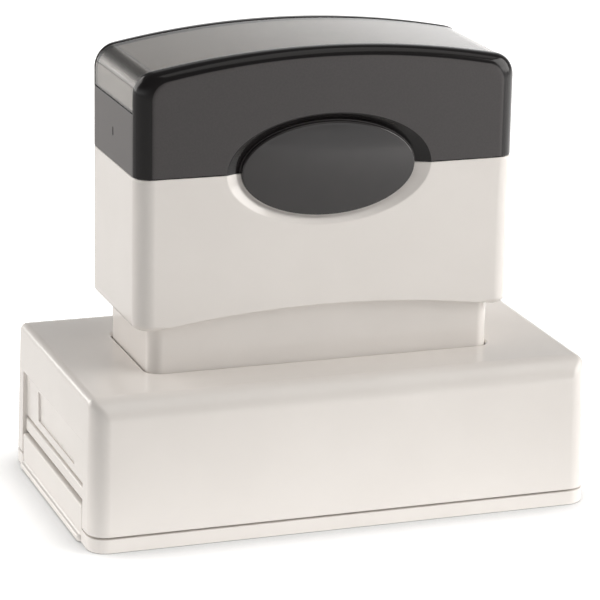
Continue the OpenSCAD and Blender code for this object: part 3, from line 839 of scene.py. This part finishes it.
def makeBadge():
    size = badgeSize
    back, seam = -handleSize["half"][1] + size["depth"], handleSize["seam"]
    piece = rod("badge_dome", (0, back, seam), (0, back - size["rim"], seam), 1, sides=size["sides"])
    stretchAll(piece, (size["half"][0], 1, size["half"][1]), (0, 0, seam))
    pick(piece, "FACE", lambda face: face.normal.y < -0.99)
    turn = math.pi / 2 / size["shoulderSteps"]
    for step in range(size["shoulderSteps"]):
        inward = math.cos(step * turn) - math.cos((step + 1) * turn)
        upward = math.sin((step + 1) * turn) - math.sin(step * turn)
        bpy.ops.mesh.inset(thickness=size["shoulder"] * inward * mm, depth=size["shoulder"] * upward * mm)
    width = 1
    for step in range(1, size["domeSteps"]):
        nextWidth = 1 - step / size["domeSteps"]
        lift = size["rise"] * (width ** 2 - nextWidth ** 2)
        push(0, -lift, 0)
        stretch(nextWidth / width, 1, nextWidth / width, (0, 0, seam))
        width = nextWidth
    leave()
    finishPiece(piece, "handle", ["badge"], badgeGloss)


makeBadge()


# return springs: a ring of wire wound up by a screw, copied to the other side

springSize = {
    "x": 18, "foot": 18.55, "top": 43.2, "radius": 3.4, "wire": 0.4, "sides": 14, "turns": 10, "steps": 28,
    "keep": 0.716,  # share of its length at full stroke
}


def makeSprings():
    size = springSize
    rise = size["top"] - size["foot"] - 2 * size["wire"]
    bpy.ops.object.select_all(action="DESELECT")
    bpy.ops.mesh.primitive_circle_add(
        vertices=size["sides"], radius=size["wire"] * mm, fill_type="NGON",
        location=(size["radius"] * mm, 0, 0), rotation=(math.pi / 2, 0, 0),
    )
    piece = named("spring_left")
    edit(piece, "FACE")
    bpy.ops.mesh.select_all(action="SELECT")
    bpy.ops.mesh.delete(type="ONLY_FACE")
    leave()
    only(piece)
    wind = piece.modifiers.new("wind", "SCREW")
    wind.axis, wind.angle, wind.iterations = "Z", 2 * math.pi, size["turns"]
    wind.screw_offset = rise / size["turns"] * mm
    wind.steps = wind.render_steps = size["steps"]
    bpy.ops.object.modifier_apply(modifier=wind.name)
    edit(piece, "EDGE")
    bpy.ops.mesh.select_all(action="DESELECT")
    bpy.ops.mesh.select_non_manifold()
    bpy.ops.mesh.fill()
    bpy.ops.mesh.select_all(action="SELECT")
    bpy.ops.mesh.normals_make_consistent(inside=False)
    leave()
    piece.location = (-size["x"] * mm, 0, (size["foot"] + size["wire"]) * mm)
    bpy.ops.object.transform_apply(location=True, rotation=True, scale=True)
    only(piece)
    bpy.ops.object.duplicate()
    other = bpy.context.object
    other.name = other.data.name = "spring_right"
    other.location = (2 * size["x"] * mm, 0, 0)
    bpy.ops.object.transform_apply(location=True, rotation=True, scale=True)
    for spring, node in ((piece, "return_spring_left"), (other, "return_spring_right")):
        finishPiece(spring, "base", [node], steel)
        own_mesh(spring)


makeSprings()


# ink pad: foam held flat between the film and the die, with round sides that pull in between the corners

padSize = {
    "half": (39.4, 20.4), "foot": 10.3, "top": 13.75, "corner": 1.6, "bow": (0.0185, 0.037), "edge": 1.2,
    "fill": 0.85,
}


def makePad():
    size = padSize
    corner, (bowX, bowY) = size["corner"], size["bow"]  # bow: half the angle that a side turns through
    midX, midY = (half - corner for half in size["half"])
    reachX, reachY = midX / math.sin(bowX), midY / math.sin(bowY)
    turn = math.pi / 2 + bowX + bowY
    start = (midX + corner * math.cos(bowY), -size["top"], midY - corner * math.sin(bowY))
    piece = drawn("foam_pad", start, (
        ("arc", midX, midY, turn, 8),
        ("arc", 0, midY + reachX * math.cos(bowX), -2 * bowX, 24),
        ("arc", -midX, midY, turn, 8),
        ("arc", -midX - reachY * math.cos(bowY), 0, -2 * bowY, 16),
        ("arc", -midX, -midY, turn, 8),
        ("arc", 0, -midY - reachX * math.cos(bowX), -2 * bowX, 24),
        ("arc", midX, -midY, turn, 8),
        ("arc", midX + reachY * math.cos(bowY), 0, -2 * bowY, 16),
    ), size["top"] - size["foot"])
    piece.rotation_euler.x = -math.pi / 2
    bpy.ops.object.transform_apply(location=True, rotation=True, scale=True)
    roundOff(piece, size["edge"], 6, lambda edge: not upright(edge))
    finishPiece(piece, "plunger", ["ink_pad"], inkFoam)


makePad()


# camera, floor, world and softboxes

cameraView = {
    "target": (0.163, 0.029, 33.267), "azimuth": -19.517, "elevation": 16.552, "roll": 1.07,
    "distance": 540.92, "lens": 185.2, "sensor": 36, "clip": (0.01, 50),
}


def towards(azimuth, elevation):
    # an arrow out from the object, from angles in degrees: 0 is the front, and plus is to the right
    azimuth, elevation = math.radians(azimuth), math.radians(elevation)
    level = math.cos(elevation)
    return Vector((math.sin(azimuth) * level, -math.cos(azimuth) * level, math.sin(elevation)))


def makeCamera():
    view = cameraView
    back, roll = towards(view["azimuth"], view["elevation"]), math.radians(view["roll"])
    right = Vector((0, 0, 1)).cross(back).normalized()
    up = back.cross(right)
    turned = right * math.cos(roll) + up * math.sin(roll)
    up = up * math.cos(roll) - right * math.sin(roll)
    bpy.ops.object.camera_add()
    camera = bpy.context.object
    camera.data.lens, camera.data.sensor_width = view["lens"], view["sensor"]
    camera.data.clip_start, camera.data.clip_end = view["clip"]
    place = Vector(view["target"]) * mm + back * view["distance"] * mm
    camera.matrix_world = Matrix.Translation(place) @ Matrix((turned, up, back)).transposed().to_4x4()
    bpy.context.scene.camera = camera


makeCamera()

stageLook = {
    "floorSize": 6, "floorColour": (0.85, 0.845, 0.835), "floorShown": 0.72, "mirrored": (0.27, 0.86),
    "mirrorReach": (-0.05, 0.25), "tableGlow": 0.86, "glowReach": (0.045, 0.09),
    "contact": 0.012, "contactShade": (0.4, 0.6), "paperTone": 0.02, "paperBlotch": 40,
    "zenith": 0.16, "left": 1.6, "back": 0.95, "ring": (0.035, 0.375),
    "glint": 1.1, "glintWay": (0.57, 0.82), "glintEdge": (0.8, 0.97), "glintTop": (0.05, 0.2),
}


def makeFloor():
    # a pale table: white to the eye, brighter on the right in reflections, glowing softly round the object,
    # and darker close under it in a painted contact shadow
    look = stageLook
    bpy.ops.object.select_all(action="DESELECT")
    bpy.ops.mesh.primitive_plane_add(size=look["floorSize"], location=(0, 0, -0.02 * mm))
    floor = named("floor")
    finish, place = newFinish("floorPaper")
    seen = place.node("ShaderNodeLightPath", {}, {}, "Is Camera Ray")
    mirrored = seen.sum("MINIMUM", seen.beside("Is Glossy Ray") + seen.beside("Is Transmission Ray"), 1.0)
    away = place.node("ShaderNodeVectorMath", {"operation": "LENGTH"}, {0: place}, "Value")
    glow = look["tableGlow"] * (1 - away.between(*look["glowReach"]))
    low, more = look["mirrored"]
    across = place.node("ShaderNodeSeparateXYZ", {}, {0: place}, "X")
    mirror = low + more * across.between(*look["mirrorReach"])
    level = glow + mirrored * (mirror - glow)
    # painted contact shadow: where the object is near, the floor's colour and glow are darkened
    reached = place.node("ShaderNodeAmbientOcclusion", {"samples": 8}, {"Distance": look["contact"]}, "AO")
    covered = 1 - reached
    shade, moreShade = look["contactShade"]
    bare = 1 - covered * (shade + moreShade * seen)
    tone = noise(place, look["paperBlotch"], 2.0)
    tint = mixColours(bare - look["paperTone"] * tone, (0, 0, 0), look["floorColour"])
    matte = place.node("ShaderNodeBsdfDiffuse", {}, {"Color": tint})
    shown = level + seen * (look["floorShown"] - level)
    lift = place.node("ShaderNodeEmission", {}, {"Strength": bare * shown})
    both = place.node("ShaderNodeAddShader", {}, {0: matte, 1: lift})
    place.node("ShaderNodeOutputMaterial", {}, {"Surface": both})
    floor.data.materials.append(finish)


makeFloor()


def makeWorld():
    # bright low down on the left, at the back and in a patch at the front right, dark overhead
    look = stageLook
    world = bpy.data.worlds.new("studio")
    bpy.context.scene.world = world
    world.use_nodes = True
    world.node_tree.nodes.clear()
    way = Wire(world.node_tree).node("ShaderNodeTexCoord", {}, {}, "Object")
    parts = way.node("ShaderNodeSeparateXYZ", {}, {0: way})
    across, along, height = (parts.beside(axis) for axis in "XYZ")
    left, back = (side.sum("MAXIMUM", side, 0.0) for side in (0 - across, along))
    ring = 1 - height.between(*look["ring"])
    wayX, wayY = look["glintWay"]
    patch = (wayX * across - wayY * along).between(*look["glintEdge"])
    glint = patch * (1 - height.between(*look["glintTop"]))
    sides = look["left"] * left * left + look["back"] * back * back + look["glint"] * glint
    seen = way.node("ShaderNodeLightPath", {}, {}, "Is Camera Ray")
    level = look["zenith"] + ring * sides
    shown = level + seen * (1 - level)
    glow = way.node("ShaderNodeBackground", {}, {"Color": (1, 1, 1, 1), "Strength": shown})
    way.node("ShaderNodeOutputWorld", {}, {"Surface": glow})


makeWorld()

softboxes = {  # azimuth and elevation from the object, distance, width, height, watts, colour
    "left": (-135, 22, 1.1, 0.9, 0.7, 7, (1, 0.97, 0.94)),
    "right": (68, 22, 0.6, 0.49, 0.38, 2.85, (1, 0.98, 0.96)),
    "back": (150, 22, 1.1, 0.9, 0.7, 0.5, (1, 1, 1)),
    "top": (48, 65, 1.0, 0.82, 0.64, 2, (1, 0.98, 0.95)),
}


def makeLights():
    aim = Vector((0, 0, 0.03))  # a little below the middle of the object
    for name, (azimuth, elevation, distance, width, height, watts, colour) in softboxes.items():
        away = towards(azimuth, elevation)
        bpy.ops.object.light_add(
            type="AREA", location=aim + away * distance, rotation=away.to_track_quat("Z", "Y").to_euler()
        )
        lamp = bpy.context.object
        lamp.name = lamp.data.name = "softbox_" + name
        lamp.data.shape, lamp.data.size, lamp.data.size_y = "RECTANGLE", width, height
        lamp.data.energy, lamp.data.color = watts, colour


makeLights()
bpy.context.scene.view_settings.view_transform = "Standard"
print("stage ready, lamps:", len(softboxes))
